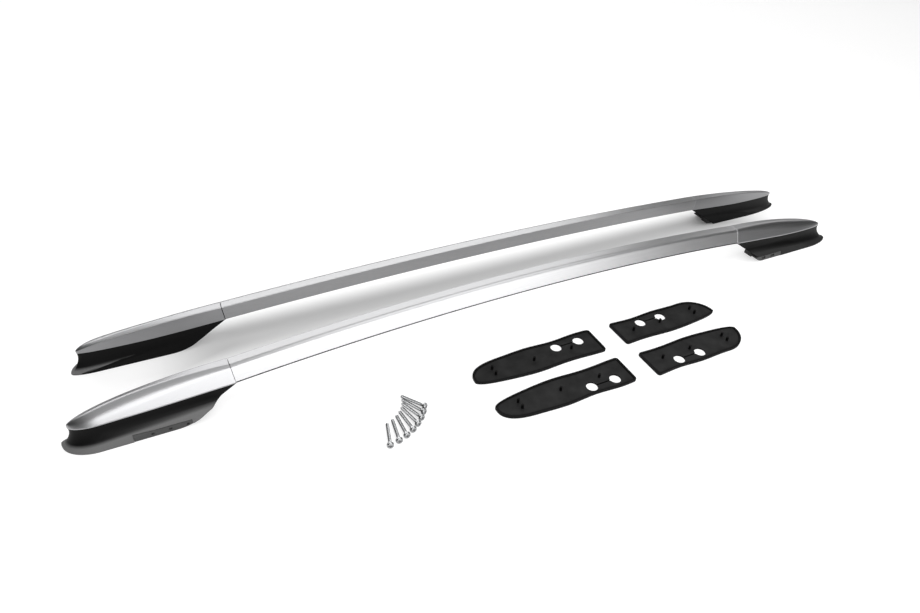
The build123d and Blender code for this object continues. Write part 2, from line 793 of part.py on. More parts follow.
def main():
    os.makedirs("parts", exist_ok=True)
    nodes = {name: Compound(solids_of(piece)) for name, piece in make_set().items()}
    # The origin is under the middle of the whole set, on the floor
    box = Compound(list(nodes.values())).bounding_box()
    centre = box.center()
    shift = Pos(-centre.X, -centre.Y, -box.min.Z)
    for name, node in nodes.items():
        export_step(shift * node, f"parts/{name}.step")
    print(len(nodes), "nodes, size", [round(side, 1) for side in box.size])


main()
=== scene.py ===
# %% [markdown]
# # A pair of roof side rails, dressed for a studio picture
#
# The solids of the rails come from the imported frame: two bent aluminium rails,
# each with a silver cap, a black base and a cast bracket at both ends, and beside
# them four rubber pads and a fan of bolts. Those solids are built from few flat
# faces. Here each one is modelled again with round, smooth surfaces, or copied and
# given soft edges, on the same sizes and in the same place. Its finish is worked
# out in nodes.

# %% Load the frame
import json
from math import acos, asin, atan2, cos, pi, radians, sin, sqrt
from types import SimpleNamespace

import bmesh
import bpy
from mathutils import Matrix, Vector


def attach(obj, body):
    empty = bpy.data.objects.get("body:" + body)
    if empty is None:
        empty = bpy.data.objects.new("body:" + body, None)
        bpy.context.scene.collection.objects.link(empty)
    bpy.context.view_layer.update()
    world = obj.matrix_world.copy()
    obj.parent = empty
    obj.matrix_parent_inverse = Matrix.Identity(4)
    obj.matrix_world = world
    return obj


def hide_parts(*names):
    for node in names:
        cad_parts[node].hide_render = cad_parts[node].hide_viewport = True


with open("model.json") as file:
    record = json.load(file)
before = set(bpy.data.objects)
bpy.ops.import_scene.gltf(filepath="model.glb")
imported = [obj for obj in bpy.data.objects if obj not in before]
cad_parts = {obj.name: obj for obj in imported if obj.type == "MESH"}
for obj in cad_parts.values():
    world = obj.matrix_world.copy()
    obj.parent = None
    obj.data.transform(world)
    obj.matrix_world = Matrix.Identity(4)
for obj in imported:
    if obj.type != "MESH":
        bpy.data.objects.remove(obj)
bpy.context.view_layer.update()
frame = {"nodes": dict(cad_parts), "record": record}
MM = 0.001
print("solids in the frame:", len(frame["nodes"]))

# %% [markdown]
# ## The sizes that pieces share
#
# A rail is drawn as the left-hand one, in millimetres: x runs from the front nose
# to the rear nose, y = 0 is the outer lower edge and +y points inwards. Each end
# has a frame of its own, with the seam between rail and cap at x = 0 and the nose
# towards -x. The right-hand rail is the mirror image. Drawing one rail and placing
# it twice keeps the two alike.

# %% Sizes of a rail
SPAN = 1750.0  # nose to nose
ARCH_RISE = 23.0
ARCH_LEAN = 23.5  # degrees that the arch leans inwards
SECTION_WIDTH = 39.0
SECTION_HEIGHT = 30.0
SHOULDER_INSET = 16.0  # from the outer lower edge in to the shoulder
SHOULDER_ROUND = 6.0
CREST_ROUND = 1.6
HEM_ROUND = 1.2
OUTER_HEM_ROUND = 3.6
RAIL_WALL = 2.4
CAP_WALL = 2.4
SEAM_GAP = 0.8  # between the rail and a cap
NOSE_FLAT = 1.0  # where the cap's skin ends, behind its theoretical nose
NOSE_DEPTH = 2.5
NOSE_SHOULDER = 0.6  # share of a narrow nose that the shoulder may come across
THREAD_Y = -1.5
THREAD_SPACING = 54.0
FOOT_PLATE = 12.0
RIGHT_LEAD = 13.7
RAIL_SPACING = 219.4
RIGHT_YAW = -0.74  # degrees
print("the rails' outer edges are", RAIL_SPACING, "mm apart")

# %% Sizes of the two ends
FRONT = SimpleNamespace(
    name="front",
    cap_length=268.0,
    seam_height=53.3,
    nose_height=40.5,
    sag=1.6,
    tip=21.0,
    shoulder_fullness=2.0,
    crest_fullness=1.6,
    outer_nose=50.0,
    base_reach=19.0,
    foot=SimpleNamespace(tip=28.0, outer=60.0, inner=45.0),
    pad=SimpleNamespace(tip=28.0, outer=60.0, inner=130.0, fullness=2.0),
    base_length=237.0,
    base_lift=22.0,
    rocker_radius=100.0,
    flange_tail=16.0,
    # how strong the painted highlight on the flange is at this end
    flange_highlight=1.0,
    thread_from_seam=114.0,
    peg_places=(133.0, 203.0),
)
REAR = SimpleNamespace(
    name="rear",
    cap_length=308.0,
    seam_height=61.0,
    nose_height=40.5,
    sag=2.0,
    tip=15.0,
    shoulder_fullness=1.6,
    crest_fullness=1.48,
    outer_nose=140.0,
    base_reach=29.0,
    foot=SimpleNamespace(tip=10.0, outer=82.0, inner=130.0),
    pad=SimpleNamespace(tip=22.0, outer=130.0, inner=160.0, fullness=2.9),
    base_length=278.0,
    base_lift=23.0,
    rocker_radius=40.0,
    flange_tail=8.0,
    # how strong the painted highlight on the flange is at this end
    flange_highlight=0.12,
    thread_from_seam=92.0,
    peg_places=(130.0, 218.0),
)
ENDS = (FRONT, REAR)
for end in ENDS:
    end.nose_x = -end.cap_length
    end.base_front = end.nose_x - end.base_reach
    end.base_back = end.base_front + end.base_length
    end.threads = (-end.thread_from_seam, -end.thread_from_seam - THREAD_SPACING)
print("one rail:", SPAN, "mm, ends of", FRONT.cap_length, "and", REAR.cap_length, "mm")

# %% Where the rails stand in the frame
MIRROR_X = Matrix.Diagonal((-1, 1, 1, 1))
MIRROR_Y = Matrix.Diagonal((1, -1, 1, 1))


def shift(x, y=0.0, z=0.0):
    return Matrix.Translation((x, y, z))


mounts = {mount["name"]: Vector(mount["pos_m"]) for mount in frame["record"]["mounts"]}
drawn_thread = Vector((FRONT.cap_length - FRONT.thread_from_seam, THREAD_Y, FOOT_PLATE / 2))
origin = mounts["left_front_thread_inner"] - drawn_thread * MM
LEFT = Matrix.Translation(origin) @ Matrix.Scale(MM, 4)
yaw = shift(SPAN / 2) @ Matrix.Rotation(radians(RIGHT_YAW), 4, "Z") @ shift(-SPAN / 2)
RIGHT = LEFT @ shift(RIGHT_LEAD, RAIL_SPACING) @ yaw @ MIRROR_Y
SIDES = {"left": LEFT, "right": RIGHT}
END_PLACES = {
    "front": shift(FRONT.cap_length),
    "rear": shift(SPAN - REAR.cap_length) @ MIRROR_X,
}
print("left-hand rail starts at", [round(value, 4) for value in origin])

# %% [markdown]
# ## Tools of the trade
#
# Most shapes here are lofts: a ring of edges is drawn once, extruded from station
# to station, and each new ring is moved to its place. A few flat-sided bodies are
# cut from others with the Boolean modifier, as a mould maker cuts pockets.

# %% Loft
def new_ring(bm, points):
    """Draw a closed ring of edges through points."""
    verts = [bm.verts.new(point) for point in points]
    return verts, [bm.edges.new((verts[i - 1], verts[i])) for i in range(len(verts))]


def loft(bm, rings):
    """Extrude the first ring through the others, and close both ends."""
    verts, edges = new_ring(bm, rings[0])
    bmesh.ops.contextual_create(bm, geom=edges)
    for ring in rings[1:]:
        grown = bmesh.ops.extrude_edge_only(bm, edges=edges)["geom"]
        fresh = {item for item in grown if isinstance(item, bmesh.types.BMVert)}
        moved = []
        for vert, point in zip(verts, ring):
            beside = [edge.other_vert(vert) for edge in vert.link_edges]
            follower = next(near for near in beside if near in fresh)
            follower.co = point
            moved.append(follower)
        verts = moved
        edges = [item for item in grown if isinstance(item, bmesh.types.BMEdge)]
        edges = [edge for edge in edges if set(edge.verts) <= fresh]
    bmesh.ops.contextual_create(bm, geom=edges)
    bmesh.ops.recalc_face_normals(bm, faces=bm.faces)


# %% Prism, block and bar
CUTTER_REACH = 200.0  # to both sides, more than a rail is wide
ROUND_FACETS = 48


def side_prism(bm, outline):
    """A closed body right across the rail, from an outline in x and z."""
    _, edges = new_ring(bm, [(x, -CUTTER_REACH, z) for x, z in outline])
    face = bmesh.ops.contextual_create(bm, geom=edges)["faces"]
    grown = bmesh.ops.extrude_face_region(bm, geom=face, use_keep_orig=True)["geom"]
    verts = [item for item in grown if isinstance(item, bmesh.types.BMVert)]
    bmesh.ops.translate(bm, verts=verts, vec=(0, 2 * CUTTER_REACH, 0))
    bmesh.ops.recalc_face_normals(bm, faces=bm.faces)


def block(bm, low, high):
    """A box between two corners."""
    low, high = Vector(low), Vector(high)
    place = Matrix.Translation((high + low) / 2) @ Matrix.Diagonal((*(high - low), 1))
    bmesh.ops.create_cube(bm, size=1, matrix=place)


def upright(bm, x, y, low, high, radius, segments=ROUND_FACETS):
    """A round bar or drill along z."""
    bmesh.ops.create_cone(
        bm,
        cap_ends=True,
        segments=segments,
        radius1=radius,
        radius2=radius,
        depth=high - low,
        matrix=shift(x, y, (low + high) / 2),
    )


# %% Turn a bmesh into a mesh, and cut one mesh with another
def shape(build, *args):
    """A mesh made by a function that draws into a new bmesh."""
    bm = bmesh.new()
    build(bm, *args)
    mesh = bpy.data.meshes.new(build.__name__)
    bm.to_mesh(mesh)
    bm.free()
    return mesh


def cut(mesh, *cutters, operation="DIFFERENCE"):
    """The mesh after a Boolean operation with each cutter in turn."""
    body = bpy.data.objects.new("body", mesh)
    bpy.context.collection.objects.link(body)
    for cutter in cutters:
        tool = bpy.data.objects.new("tool", cutter)
        bpy.context.collection.objects.link(tool)
        boolean = body.modifiers.new("cut", "BOOLEAN")
        boolean.operation = operation
        boolean.solver = "EXACT"
        boolean.object = tool
        graph = bpy.context.evaluated_depsgraph_get()
        body.data = bpy.data.meshes.new_from_object(body.evaluated_get(graph))
        body.modifiers.clear()
        bpy.data.objects.remove(tool)
    result = body.data
    bpy.data.objects.remove(body)
    return result


# %% Put a finished mesh into the scene
SHARP = 30.0  # degrees; a sharper edge stays an edge
BEVEL_SEGMENTS = 2
finishes = {}


def add_piece(name, mesh, place, slot, bevel=0.0, sharp=SHARP):
    """Place a mesh, give it its finish and soft edges, and let it ride on the frame."""
    mesh = mesh.copy()
    mesh.transform(place)
    if place.determinant() < 0:
        mesh.flip_normals()
    mesh.shade_smooth()
    mesh.set_sharp_from_angle(angle=radians(sharp))
    piece = bpy.data.objects.new(name, mesh)
    bpy.context.collection.objects.link(piece)
    if bevel:
        edge = piece.modifiers.new("soft edges", "BEVEL")
        edge.width = bevel * MM
        edge.segments = BEVEL_SEGMENTS
        edge.limit_method = "ANGLE"
        edge.angle_limit = radians(sharp)
    piece.modifiers.new("even shading", "WEIGHTED_NORMAL").keep_sharp = True
    mesh.materials.clear()
    mesh.materials.append(finishes[slot])
    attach(piece, "root")
    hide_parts(name.removesuffix("_skin"))


# %% [markdown]
# ## Colours and nodes
#
# Colours are written as sRGB hex values, as a paint chart gives them, and turned
# to the linear values that shaders add and multiply. One small function adds a
# node and fills or links its sockets.
#
# All six finishes are built alike: one noise, sized in millimetres from the real
# grain, drives the colour between two tones, the gloss between two values and the
# relief. So one function makes them, and each finish is a few numbers that can be
# compared. Where a piece has places with other tones, such as painted shade on an
# inner side or a painted highlight on a flange, an attribute of its mesh says where,
# because it stays with the mesh wherever that goes.

# %% Colour and node helpers
def colour(code):
    """A linear colour from an sRGB hex value."""
    parts = [int(code[i : i + 2], 16) / 255 for i in (1, 3, 5)]
    return (*[c / 12.92 if c <= 0.04045 else ((c + 0.055) / 1.055) ** 2.4 for c in parts], 1)


def add_node(owner, kind, inputs=None, **settings):
    """Add a node to a material or world, set its options, and fill or link its inputs."""
    tree = owner.node_tree
    node = tree.nodes.new(kind)
    for option, value in settings.items():
        setattr(node, option, value)
    for socket, value in (inputs or {}).items():
        if isinstance(value, bpy.types.NodeSocket):
            tree.links.new(value, node.inputs[socket])
        else:
            node.inputs[socket].default_value = value
    return node


# %% How a finish is made
def make_finish(slot, sockets, grain, tones, gloss, relief=0.0, waves=None, marked=None):
    """A material for one slot of the record; sizes are in millimetres.

    sockets are the shader's constant values. grain and waves are the size of a noise
    along x, y and z, and its detail. The relief follows the waves if there are any.
    marked names an attribute, and the two tones that show where it is 1.
    """
    material = bpy.data.materials.new(slot)
    material.use_nodes = True
    material.node_tree.nodes.clear()
    place = add_node(material, "ShaderNodeTexCoord").outputs["Object"]
    noises = []
    for size, detail in [grain, waves] if waves else [grain]:
        scale = [1 / (length * MM) for length in size]
        sized = add_node(material, "ShaderNodeMapping", {"Vector": place, "Scale": scale})
        inputs = {"Vector": sized.outputs["Vector"], "Scale": 1.0, "Detail": detail}
        noises.append(add_node(material, "ShaderNodeTexNoise", inputs).outputs["Fac"])
    skins = []
    for dark, light in [tones, marked[1]] if marked else [tones]:
        inputs = {"Fac": noises[0], "Color1": colour(dark), "Color2": colour(light)}
        skins.append(add_node(material, "ShaderNodeMixRGB", inputs).outputs["Color"])
    if marked:
        marks = add_node(material, "ShaderNodeAttribute", attribute_name=marked[0])
        inputs = {"Fac": marks.outputs["Fac"], "Color1": skins[0], "Color2": skins[1]}
        skins = [add_node(material, "ShaderNodeMixRGB", inputs).outputs["Color"]]
    inputs = {"Value": noises[0], "To Min": gloss[0], "To Max": gloss[1]}
    rough = add_node(material, "ShaderNodeMapRange", inputs).outputs["Result"]
    inputs = {**sockets, "Base Color": skins[0], "Roughness": rough}
    if relief:
        heights = {"Height": noises[-1], "Distance": relief * MM, "Strength": 1.0}
        inputs["Normal"] = add_node(material, "ShaderNodeBump", heights).outputs["Normal"]
    shader = add_node(material, "ShaderNodeBsdfPrincipled", inputs)
    add_node(material, "ShaderNodeOutputMaterial", {"Surface": shader.outputs["BSDF"]})
    finishes[slot] = material
    print("finish:", slot)


# %% [markdown]
# ### Anodised aluminium
#
# The rail is drawn through a die, brushed along its length and anodised. To the eye
# that is a satin silver, with faint streaks that run with the rail. A picture of
# brushed metal would need a UV map, so noise that is drawn out to 160 mm along x
# gives the streaks. Real brush marks are about a tenth of a millimetre wide, too
# fine to show, so these are 0.7 mm. The lower edge and the inner side mirror a
# darker room in the picture than this studio is, so they carry a painted shade: a
# darker tone that stands in for that darker reflection.

# %% Anodised aluminium: a satin silver, streaked along the rail
# painted shade: a darker tone on the rail's hem and on the inner sides of rail and caps, in place of the
# darker room they mirror
PAINTED_SHADE_TONES = ("#161617", "#161617")
make_finish(
    "anodised_aluminium",
    {"Metallic": 1.0},
    grain=((160.0, 0.7, 0.7), 4.0),
    tones=("#9c9c9d", "#b4b4b5"),
    gloss=(0.30, 0.40),
    relief=0.02,
    # painted shade on the hem and on the side that looks inwards
    marked=("painted_shade", PAINTED_SHADE_TONES),
)

# %% [markdown]
# ### Silver paint
#
# The caps are moulded plastic under a metallic lacquer, which is matched to the
# rail. Aluminium flakes in it give a soft silver with a fine sparkle and no streaks.
# A flake is a few hundredths of a millimetre, so here they are drawn 0.5 mm wide.
# The lacquer could be a second, clear layer, but it is too soft a gloss to show one.

# %% Silver paint: a soft silver with a fine sparkle
make_finish(
    "silver_paint",
    {"Metallic": 1.0},
    grain=((0.5, 0.5, 0.5), 2.0),
    tones=("#98989a", "#aeaeaf"),
    gloss=(0.30, 0.38),
    relief=0.004,
    # painted shade on the side that looks inwards, as on the rail
    marked=("painted_shade", PAINTED_SHADE_TONES),
)

# %% [markdown]
# ### Black plastic
#
# The bases are polypropylene, moulded against an etched tool. That leaves a fine
# leather-like grain, which takes the shine off a deep black. Noise of 0.9 mm is
# close to the real grain. The flange at the bottom faces up towards the lamps and is
# painted grey, most of all at the front feet: a painted highlight that an attribute
# fades in from the crease downwards.

# %% Black plastic: deep and matt, with a painted highlight on the flange
make_finish(
    "black_plastic",
    {"IOR": 1.49, "Specular IOR Level": 0.1},
    grain=((0.9, 0.9, 0.9), 3.0),
    tones=("#040404", "#0a0a0a"),
    gloss=(0.42, 0.55),
    relief=0.03,
    # painted highlight: the grey that the flange takes from the crease downwards
    marked=("painted_flange_light", ("#606060", "#727272")),
)

# %% [markdown]
# ### Coated casting
#
# The bracket is die-cast aluminium under a thin dark coat from a dip tank. The coat
# follows the casting's slightly uneven skin, so it is a dull dark grey and not a
# flat black. A grain of 1.2 mm is that skin.

# %% Coated casting: dark grey and dull
make_finish(
    "black_coated_casting",
    {"IOR": 1.5, "Specular IOR Level": 0.3},
    grain=((1.2, 1.2, 1.2), 3.0),
    tones=("#3c3c3c", "#4c4c4c"),
    gloss=(0.45, 0.6),
    relief=0.03,
)

# %% [markdown]
# ### Black rubber
#
# The field inside the rim is painted grey in soft patches, and the rim is left
# black: a painted sheen on the field. The patches are about 26 mm wide. The sheet
# also lies a little uneven, in waves of about 45 mm, and those are left to the
# relief because they are only a millimetre high.

# %% Black rubber: black rims, and a field with a painted sheen in patches
make_finish(
    "black_rubber",
    {"IOR": 1.52, "Specular IOR Level": 0.1},
    grain=((26.0, 26.0, 26.0), 3.0),
    tones=("#030303", "#050505"),
    gloss=(0.5, 0.68),
    relief=1.2,
    waves=((45.0, 45.0, 45.0), 8.0),
    # painted sheen: the field inside the rim is drawn grey in patches
    marked=("sheen_field", ("#020202", "#2c2c2c")),
)

# %% [markdown]
# ### Zinc-plated steel
#
# Bolts and screws are steel with a bright passivated zinc plate. It mirrors the
# room, with a faint cloudiness of about 3 mm. It needs no relief: the thread's own
# form breaks up what it mirrors.

# %% Zinc-plated steel: bright, and slightly cloudy
make_finish(
    "zinc_plated_steel",
    {"Metallic": 1.0},
    grain=((3.0, 3.0, 3.0), 2.0),
    tones=("#909192", "#acadae"),
    gloss=(0.08, 0.16),
)

# %% [markdown]
# ## The rail
#
# The rail is an extrusion: one section, pulled through a die and then bent to a
# shallow arch. It could be swept along a curve, but a spin of the section about the
# arch's far-away centre makes that bend in one step. The shoulder is rounded and
# the crest is left crisp.

# %% The arch
front_seam = Vector((FRONT.cap_length, 0, FRONT.seam_height))
rear_seam = Vector((SPAN - REAR.cap_length, 0, REAR.seam_height))
chord = rear_seam - front_seam
run = chord.normalized()
lean = Vector((0, sin(radians(ARCH_LEAN)), cos(radians(ARCH_LEAN))))
rise = (lean - run * lean.dot(run)).normalized()
arch_radius = (chord.length / 2) ** 2 / (2 * ARCH_RISE) + ARCH_RISE / 2
half_arc = asin(chord.length / 2 / arch_radius)
bend_axis = run.cross(rise)
bend_centre = (front_seam + rear_seam) / 2 + rise * (ARCH_RISE - arch_radius)


def section_plane(angle):
    """The section's plane, carried along the arch towards the front."""
    turned = Matrix.Rotation(angle, 3, bend_axis)
    across, along = turned @ Vector((0, 1, 0)), turned @ run
    place = Matrix((across, along.cross(across), along)).transposed().to_4x4()
    place.translation = bend_centre + turned @ (rise * arch_radius)
    return place


print("arch radius:", round(arch_radius), "mm")

# %% The section
SECTION = [
    (0, 0),
    (SHOULDER_INSET, SECTION_HEIGHT),
    (SECTION_WIDTH, SECTION_HEIGHT),
    (SECTION_WIDTH, 0),
]
ROUNDS = (OUTER_HEM_ROUND, SHOULDER_ROUND, CREST_ROUND, HEM_ROUND)
ROUND_STEPS = (4, 8, 4, 4)
WALL_SLOPE = SHOULDER_INSET / SECTION_HEIGHT


def blend(start, finish, share):
    return start + (finish - start) * share


def eased(corners, reaches, steps):
    """A closed outline with rounded corners; a corner without steps stays sharp.

    A reach is how far a rounding goes from its corner, or a pair where that differs
    before and after the corner.
    """
    points = []
    for number, (corner, reach, count) in enumerate(zip(corners, reaches, steps)):
        here = Vector(corner)
        if not count:
            points.append(here)
            continue
        before, after = Vector(corners[number - 1]), Vector(corners[(number + 1) % len(corners)])
        start_reach, finish_reach = reach if isinstance(reach, tuple) else (reach, reach)
        start = here + (before - here).normalized() * start_reach
        finish = here + (after - here).normalized() * finish_reach
        for step in range(count + 1):
            share = step / count
            points.append(blend(blend(start, here, share), blend(here, finish, share), share))
    return points


def rail_hollow():
    """The four corners of the rail's inside, one wall in from its outside."""
    low, high, inner = RAIL_WALL, SECTION_HEIGHT - RAIL_WALL, SECTION_WIDTH - RAIL_WALL
    outer = RAIL_WALL * sqrt(1 + WALL_SLOPE**2)
    return [(outer + low * WALL_SLOPE, low), (outer + high * WALL_SLOPE, high), (inner, high), (inner, low)]


section_outline = eased(SECTION, ROUNDS, ROUND_STEPS)
print("section:", SECTION_WIDTH, "x", SECTION_HEIGHT, "mm,", len(section_outline), "points")

# %% Spin the rail
RAIL_STEPS = 72
INNER_PAINTED_SHADE = 0.3  # how much painted shade the side that looks inwards takes
FACING = 0.9  # a face whose normal has more than this along an axis looks that way
HEM_OUTWARD = -0.1  # the hem's normals point outwards, past this
HEM_UPWARD = 0.4  # and upwards by less than this


def mark_painted_shade(bm, hem_shade):
    """Say of each face how much painted shade it takes: the hem, and the side that looks inwards."""
    painted_shade = bm.faces.layers.float.new("painted_shade")
    for face in bm.faces:
        hem = face.normal.y < HEM_OUTWARD and face.normal.z < HEM_UPWARD
        face[painted_shade] = hem_shade if hem else INNER_PAINTED_SHADE * (face.normal.y > FACING)


def draw_rail(bm):
    """Spin the outer and the inner outline of the section, and close the two ends."""
    place = section_plane(-half_arc)
    first = []
    for outline in (section_outline, rail_hollow()):
        first += new_ring(bm, [place @ Vector((*point, 0)) for point in outline])[1]
    spun = bmesh.ops.spin(
        bm, geom=first, cent=bend_centre, axis=bend_axis, angle=2 * half_arc, steps=RAIL_STEPS
    )
    last = [item for item in spun["geom_last"] if isinstance(item, bmesh.types.BMEdge)]
    bmesh.ops.bridge_loops(bm, edges=first)
    bmesh.ops.bridge_loops(bm, edges=last)
    bmesh.ops.recalc_face_normals(bm, faces=bm.faces)
    # painted shade: all of the hem, and part of the side that looks inwards
    mark_painted_shade(bm, hem_shade=1.0)


rail_mesh = shape(draw_rail)
for side, place in SIDES.items():
    add_piece(f"{side}_rail_skin", rail_mesh, place, "anodised_aluminium")
print("rail:", len(rail_mesh.polygons), "faces")

# %% [markdown]
# ## The caps
#
# A cap carries the rail's section on to a rounded nose. Each section of the cap is
# a thin wall, open below: an outer outline with rounded edges, and an inner one that
# fades out towards the solid nose. Sixty sections, closer together at the nose, make
# the skin smooth without a modifier that would pull the shape off its sizes.

# %% Corners of a cap
ELLIPSE = 2.0  # the fullness of an ellipse; less is more pointed


def swell(distance, length, fullness):
    """Share of full size at a distance from the nose: 0 at the nose, 1 past length."""
    away = max(0.0, 1 - distance / length)
    return (1 - away**fullness) ** (1 / fullness)


def lower_edge(end, distance):
    """Height of the cap's lower edge, which bends a little in its middle."""
    middle = end.cap_length / 2
    middle_height = (end.nose_height + end.seam_height) / 2 - end.sag
    if distance < middle:
        return blend(end.nose_height, middle_height, distance / middle)
    return blend(middle_height, end.seam_height, distance / middle - 1)


def cap_corners(end, distance):
    """Outer lower, shoulder, crest and inner lower corners of the cap, in y and z."""
    low = lower_edge(end, distance)
    nose_top = end.nose_height + NOSE_DEPTH
    full_top = end.seam_height + SECTION_HEIGHT
    shoulder = blend(nose_top, full_top, swell(distance, end.cap_length, end.shoulder_fullness))
    crest = blend(nose_top, full_top, swell(distance, end.cap_length, end.crest_fullness))
    outer = end.tip * (1 - swell(distance, end.outer_nose, ELLIPSE))
    inner = blend(end.tip, SECTION_WIDTH, swell(distance, end.cap_length, ELLIPSE))
    shoulder_y = min(outer + (shoulder - low) * WALL_SLOPE, blend(outer, inner, NOSE_SHOULDER))
    return [(outer, low), (shoulder_y, shoulder), (inner, crest), (inner, low)]


for end in ENDS:
    crest = cap_corners(end, end.cap_length / 2)[2]
    print(end.name, "cap, crest half way along:", [round(value, 1) for value in crest])

# %% Sections of a cap
CAP_HEM = 2.0
EDGE_LIMIT = 0.3  # share of the section's height that a hem or an edge may take
LIP_SHARE = 0.25
SOFT_SHOULDER = 15.0  # reach of the shoulder's rounding at the nose
SHOULDER_SHARE = 0.8
WALL_SHARE = 0.95
CAP_ROUND_STEPS = (2, 2, 12, 4, 2)
HOLLOW_START = 8.0
HOLLOW_FULL = 40.0


def cap_section(corners, distance, end):
    """Closed outline of the cap's wall: round the outside, then back along the inside."""
    (outer, low), (shoulder_y, shoulder), (inner, crest), _ = corners
    hem = min(CAP_HEM, EDGE_LIMIT * (crest - low))
    edge = min(CREST_ROUND, EDGE_LIMIT * (crest - low))
    soft = blend(SOFT_SHOULDER, SHOULDER_ROUND, distance / end.cap_length)
    top_reach = min(soft, SHOULDER_SHARE * (inner - edge - shoulder_y))
    side_reach = blend(WALL_SHARE * (shoulder - low - hem), top_reach, distance / end.cap_length)
    lip = outer + hem * WALL_SLOPE
    outside = [(lip, low), (lip, low + hem), *corners[1:]]
    reaches = (LIP_SHARE * hem, LIP_SHARE * hem, (side_reach, top_reach), edge, LIP_SHARE * hem)
    outline = eased(outside, reaches, CAP_ROUND_STEPS)
    middle = (lip + inner) / 2
    depth = min(1.0, max(0.0, (distance - HOLLOW_START) / (HOLLOW_FULL - HOLLOW_START)))
    top = blend(low, min(shoulder, crest) - CAP_WALL, depth)
    outer = min(lip + CAP_WALL, middle)
    inner = max(inner - CAP_WALL, middle)
    slope_end = min(outer + (top - low) * WALL_SLOPE, blend(outer, inner, NOSE_SHOULDER))
    return [*outline, (inner, low), (inner, top), (slope_end, top), (outer, low)]


# %% Loft the caps
CAP_STATIONS = 60
SEAM_EDGE = 0.7  # the cap's edge at the seam is broken by this much


def seam_plane(end):
    """The seam's plane in the end's own frame, facing into the rail."""
    flip = 1 if end is FRONT else -1
    place = section_plane(flip * half_arc)
    across, along = place.col[0].to_3d(), place.col[2].to_3d() * flip
    across.x *= flip
    along.x *= flip
    plane = Matrix((across, along.cross(across), along)).transposed().to_4x4()
    plane.translation = (0, 0, end.seam_height)
    return plane


def draw_cap(bm, end):
    """Loft a cap from its nose to the seam."""
    rings = []
    for number in range(CAP_STATIONS):
        distance = blend(NOSE_FLAT, end.cap_length, (number / CAP_STATIONS) ** 2)
        section = cap_section(cap_corners(end, distance), distance, end)
        rings.append([(end.nose_x + distance, *point) for point in section])
    seam = seam_plane(end)
    section = [Vector(point) for point in cap_section(SECTION, end.cap_length, end)]
    middle = Vector((SHOULDER_INSET, SECTION_HEIGHT / 2))
    for back, size in ((SEAM_GAP + SEAM_EDGE, 1), (SEAM_GAP, 1 - 2 * SEAM_EDGE / SECTION_HEIGHT)):
        rings.append([seam @ Vector((*blend(middle, point, size), -back)) for point in section])
    loft(bm, rings)
    # painted shade on the side that looks inwards; the cap's hem takes none
    mark_painted_shade(bm, hem_shade=0.0)


for end in ENDS:
    cap_mesh = shape(draw_cap, end)
    for side, place in SIDES.items():
        add_piece(f"{side}_{end.name}_cap_skin", cap_mesh, place @ END_PLACES[end.name], "silver_paint")
    print(end.name, "cap:", len(cap_mesh.polygons), "faces")

# %% [markdown]
# ## The bases
#
# The base is a moulded skirt: a neck under the cap that flares out to a foot on the
# roof. It is lofted upwards from plans of the foot, because its plan is what stays
# simple from level to level. What a mould would shape with cores, the hollow below,
# the window for the bracket and the rocking underside, is cut out with Booleans.

# %% Plans of a base
NECK_INSET = 1.4  # how far the neck lies inside the cap's edge
FLARE_OUT = 16.0  # how far the foot stands out past the cap's outer edge
NOSE_STEPS = 18
BACK_REACH = 15.0  # past the seam, where the slanted end is cut later
foot_middle = (SECTION_WIDTH - FLARE_OUT) / 2


def nose_outline(x, outer, inner, rounding, back):
    """A plan between two long sides, from its rounded nose at x to its straight back."""
    power = 2 / rounding.fullness
    points = [(back, inner)]
    for step in range(NOSE_STEPS + 1):
        angle = pi / 2 * step / NOSE_STEPS
        y = blend(rounding.tip, inner, cos(angle))
        points.append((x + rounding.inner * (1 - sin(angle)), y))
    for step in range(NOSE_STEPS - 1, -1, -1):
        angle = pi / 2 * step / NOSE_STEPS
        y = blend(rounding.tip, outer, cos(angle) ** power)
        points.append((x + rounding.outer * (1 - sin(angle) ** power), y))
    return [*points, (back, outer)]


def foot_outline(end, flare, inset):
    """Plan of the base: flare 0 is its neck under the cap, flare 1 its foot."""
    nose = blend(end.nose_x + NECK_INSET, end.base_front, flare) + inset
    outer_end = blend(end.nose_x + end.outer_nose, end.base_front + end.foot.outer, flare)
    inner_end = blend(0, end.base_front + end.foot.inner, flare)
    rounding = SimpleNamespace(
        tip=blend(end.tip, end.foot.tip, flare),
        outer=outer_end - nose,
        inner=inner_end - nose,
        fullness=ELLIPSE,
    )
    outer = blend(NECK_INSET, -FLARE_OUT, flare) + inset
    inner = SECTION_WIDTH - blend(NECK_INSET, 0, flare) - inset
    return nose_outline(nose, outer, inner, rounding, BACK_REACH)


for end in ENDS:
    ys = [y for _, y in foot_outline(end, 1, 0)]
    print(end.name, "foot:", end.base_length, "x", max(ys) - min(ys), "mm")

# %% Walls of a base
LIP = 3.0  # height of the foot's upright edge
CREASE_LIFT = 1.5
CREASE_SLOPE = 0.085
CREASE_FLARE = 0.7  # share of the flare that is left at the crease
NECK_HEIGHT = 37.0
WALL_STEPS = 12


def crease_height(end, x):
    """Height of the crease between the wall and the flange, which rises towards the seam."""
    return LIP + CREASE_LIFT + CREASE_SLOPE * (x - end.base_front)


def wall_ring(end, inset, share):
    """A section of the base's wall: share 0 is the sloping crease, share 1 the neck."""
    points = []
    for x, y in foot_outline(end, CREASE_FLARE * (1 - share) ** 2, inset):
        points.append((x, y, blend(crease_height(end, x) - inset, NECK_HEIGHT, share)))
    return points


